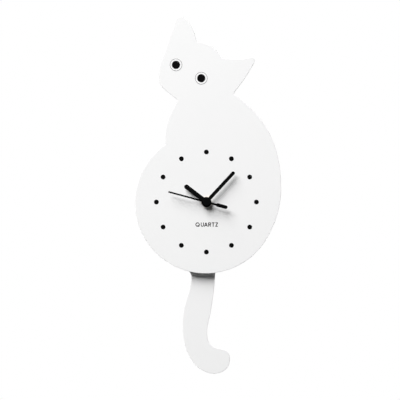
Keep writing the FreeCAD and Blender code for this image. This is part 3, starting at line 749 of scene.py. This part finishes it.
class CATCLOCK_OT_wrap_battery(bpy.types.Operator):
    """Wrap the battery in its film and finish its contacts"""

    bl_idname = "catclock.wrap_battery"
    bl_label = "Wrap Battery"

    def execute(self, context):
        finish = context.scene.cat_clock_finish
        sizes = context.scene.cat_clock_sizes
        low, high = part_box("battery_shell")
        middle = (low + high) / 2
        radius = (high.z - low.z) / 2
        half = (high.x - low.x) / 2
        roll = sizes.label_film
        end = half - 0.02 * MM
        quarter = [math.radians(15 * step) for step in range(7)]
        rolled = [(roll * math.cos(turn), radius - roll + roll * math.sin(turn)) for turn in quarter]
        profile = [(-end, 0.0)]
        profile += [(-end + roll - along, outwards) for along, outwards in rolled]
        profile += [(end - roll + along, outwards) for along, outwards in reversed(rolled)]
        profile += [(end, 0.0)]
        bm = spun(profile, middle, (1, 0, 0), 96)
        film = label_material(finish, middle, half)
        jacket = piece_from(bm, "battery_jacket", "battery", film)
        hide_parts("battery_shell")
        plate = nickel_plate(finish)
        ends = ("battery_cap", "battery_base")
        for node in ends + ("positive_contact", "negative_spring", "negative_contact"):
            coat(node, plate)
        return {"FINISHED"}


def inside(tree, value, middle, reach):
    """One where a value is within reach of a middle, and nought elsewhere."""
    return calculate(tree, "COMPARE", value, middle, reach)


def label_material(finish, middle, half):
    """Battery film: a dark body, a light band at the cap end, and a plus and a minus mark."""
    made, tree, shader = blank_material("battery_film")
    place = place_on_piece(tree, tuple(middle))
    axes = add_node(tree, "ShaderNodeSeparateXYZ", {0: place}).outputs
    along, outwards, up = axes[0], axes[1], axes[2]
    band = inside(tree, along, half * 0.60, half * 0.06)
    rim = inside(tree, along, -half * 0.93, half * 0.012)
    facing = calculate(tree, "GREATER_THAN", outwards, 0.0)
    wide = 2.0 * MM
    thick = 0.45 * MM
    plus_x = half * 0.80
    minus_x = -plus_x
    flat = calculate(tree, "MULTIPLY", inside(tree, along, plus_x, wide), inside(tree, up, 0.0, thick))
    tall = calculate(tree, "MULTIPLY", inside(tree, along, plus_x, thick), inside(tree, up, 0.0, wide))
    dash = calculate(tree, "MULTIPLY", inside(tree, along, minus_x, thick), inside(tree, up, 0.0, wide))
    plus = calculate(tree, "MAXIMUM", flat, tall)
    signs = calculate(tree, "MULTIPLY", calculate(tree, "MAXIMUM", plus, dash), facing)
    marks = calculate(tree, "MAXIMUM", calculate(tree, "MAXIMUM", band, rim), signs)
    dots = noise(tree, place, 2500.0, 2.0)
    specks = stretch(tree, dots, 0.4, 0.7, 0.0, 0.035)
    body = mix_colours(tree, specks, solid(finish.label), solid((0.5, 0.5, 0.5)))
    tree.links.new(mix_colours(tree, marks, body, solid(finish.label_band)), shader.inputs["Base Color"])
    pull = noise(tree, place, 160.0, 2.0)
    tree.links.new(stretch(tree, pull, 0.3, 0.7, 0.2, 0.32), shader.inputs["Roughness"])
    tree.links.new(bump(tree, pull, 0.05 * MM), shader.inputs["Normal"])
    shader.inputs["Coat Weight"].default_value = 0.5
    shader.inputs["Coat Roughness"].default_value = 0.12
    return made


class CATCLOCK_OT_hang_pendulum(bpy.types.Operator):
    """Finish the pendulum's arm, magnet and hook"""

    bl_idname = "catclock.hang_pendulum"
    bl_label = "Hang Pendulum"

    def execute(self, context):
        finish = context.scene.cat_clock_finish
        steel = finish_material(
            "hook_steel", "Rolled Metal", finish.steel, 0.32,
            {"Streak Scale": 1000.0, "Streak Depth": 0.005 * MM, "Stain": 0.2},
            turn=(0, math.radians(90), 0), Metallic=1.0,
        )
        arm = finish_material(
            "arm_acetal", "Moulded Skin", finish.gear, 0.42,
            {"Grain Scale": 2800.0, "Grain Depth": 0.01 * MM, "Bloom": 0.2}, Specular_IOR_Level=0.5,
        )
        for node in ("tail_hook", "hook_rivets", "pendulum_pin"):
            coat(node, steel)
        coat("pendulum_arm", arm)
        coat("pendulum_magnet", ferrite(finish))
        return {"FINISHED"}


SIDE_SHARE = 0.4
SENSOR_WIDTH = 36.0
AIM_LEFT = 12.1 * MM
AIM_DOWN = 6.9 * MM


class CATCLOCK_OT_set_stage(bpy.types.Operator):
    """Lay the floor, hang the lamps and set the camera"""

    bl_idname = "catclock.set_stage"
    bl_label = "Set Stage"

    def execute(self, context):
        stage = context.scene.cat_clock_stage
        lay_floor(stage.floor_radius, stage.floor_drop)
        hang_lamp("key_lamp", (-0.78, -1.0, 1.40), 7.6, 5.3, stage.key_power)
        hang_lamp("back_lamp", (0.5, 1.0, 0.75), 3.4, 2.4, stage.back_power)
        hang_lamp("back_side_lamp", (-1.0, 0.75, 0.2), 3.4, 1.6, stage.back_power * SIDE_SHARE)
        hang_lamp("edge_lamp", (1.0, -0.02, -0.40), 3.6, 1.2, stage.edge_power)
        light_room(stage.room_light)
        set_camera(stage.camera_distance, stage.frame_width)
        context.scene.view_settings.view_transform = "Standard"
        return {"FINISHED"}


def lay_floor(radius, drop):
    """A round pale floor, which sends some light up at the clock."""
    bm = bmesh.new()
    bmesh.ops.create_circle(
        bm, cap_ends=True, segments=96, radius=radius, matrix=Matrix.Translation((0, 0, -drop))
    )
    mesh = bpy.data.meshes.new("floor")
    bm.to_mesh(mesh)
    bm.free()
    paper, tree, shader = blank_material("floor_paper")
    tone = stretch(tree, noise(tree, place_on_piece(tree), 3.0), 0.3, 0.7, 0.80, 0.83)
    tree.links.new(tone, shader.inputs["Base Color"])
    shader.inputs["Roughness"].default_value = 0.85
    mesh.materials.append(paper)
    floor = bpy.data.objects.new("floor", mesh)
    bpy.context.scene.collection.objects.link(floor)


def hang_lamp(name, direction, distance, size, power):
    """A square soft lamp that hangs in a direction from the middle of the dial and faces it."""
    light = bpy.data.lights.new(name, "AREA")
    light.shape = "SQUARE"
    light.size = size
    light.energy = power
    lamp = bpy.data.objects.new(name, light)
    away = Vector(direction).normalized()
    lamp.location = SHAFT + away * distance
    lamp.rotation_euler = away.to_track_quat("Z", "Y").to_euler()
    bpy.context.scene.collection.objects.link(lamp)


def light_room(strength):
    """An even room light, with plain white for whatever lies behind the clock."""
    room = bpy.data.worlds.new("room")
    room.use_nodes = True
    tree = room.node_tree
    even = tree.nodes["Background"]
    even.inputs[0].default_value = (1, 1, 1, 1)
    seen = add_node(tree, "ShaderNodeLightPath").outputs["Is Camera Ray"]
    tree.links.new(stretch(tree, seen, 0.0, 1.0, strength, 1.0), even.inputs[1])
    bpy.context.scene.world = room


def set_camera(distance, width):
    """A level camera that looks straight at the clock from a distance and takes in a width."""
    lens = bpy.data.cameras.new("camera")
    lens.sensor_width = SENSOR_WIDTH
    lens.lens = SENSOR_WIDTH * distance / width
    camera = bpy.data.objects.new("camera", lens)
    middle = (cad_low + cad_high) / 2
    camera.location = (middle.x - AIM_LEFT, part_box("cat_plate")[0].y - distance, middle.z - AIM_DOWN)
    camera.rotation_euler = (math.radians(90), 0, 0)
    bpy.context.scene.collection.objects.link(camera)
    bpy.context.scene.camera = camera


OPERATORS = (
    CATCLOCK_OT_coat_sheets,
    CATCLOCK_OT_print_dial,
    CATCLOCK_OT_lacquer_hands,
    CATCLOCK_OT_fit_bushing,
    CATCLOCK_OT_mould_case,
    CATCLOCK_OT_turn_knob,
    CATCLOCK_OT_finish_train,
    CATCLOCK_OT_wind_motor,
    CATCLOCK_OT_wrap_battery,
    CATCLOCK_OT_hang_pendulum,
    CATCLOCK_OT_set_stage,
)


class CATCLOCK_PT_pieces(bpy.types.Panel):
    """Lists the clock's pieces and their settings"""

    bl_idname = "CATCLOCK_PT_pieces"
    bl_label = "Cat Clock"
    bl_space_type = "VIEW_3D"
    bl_region_type = "UI"
    bl_category = "Cat Clock"

    def draw(self, context):
        for operator in OPERATORS:
            self.layout.operator(operator.bl_idname)
        scene = context.scene
        for settings in (scene.cat_clock_finish, scene.cat_clock_sizes, scene.cat_clock_stage):
            box = self.layout.box()
            for name in settings.__annotations__:
                box.prop(settings, name)


CLASSES = (CatClockFinish, CatClockSizes, CatClockStage) + OPERATORS + (CATCLOCK_PT_pieces,)


def register():
    for made in CLASSES:
        bpy.utils.register_class(made)
    bpy.types.Scene.cat_clock_finish = PointerProperty(type=CatClockFinish)
    bpy.types.Scene.cat_clock_sizes = PointerProperty(type=CatClockSizes)
    bpy.types.Scene.cat_clock_stage = PointerProperty(type=CatClockStage)


def unregister():
    del bpy.types.Scene.cat_clock_stage
    del bpy.types.Scene.cat_clock_sizes
    del bpy.types.Scene.cat_clock_finish
    for made in reversed(CLASSES):
        bpy.utils.unregister_class(made)


def main():
    """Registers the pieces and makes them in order."""
    register()
    steps = bpy.ops.catclock
    steps.coat_sheets()
    steps.print_dial()
    steps.lacquer_hands()
    steps.fit_bushing()
    steps.mould_case()
    steps.turn_knob()
    steps.finish_train()
    steps.wind_motor()
    steps.wrap_battery()
    steps.hang_pendulum()
    steps.set_stage()


if __name__ == "__main__":
    main()
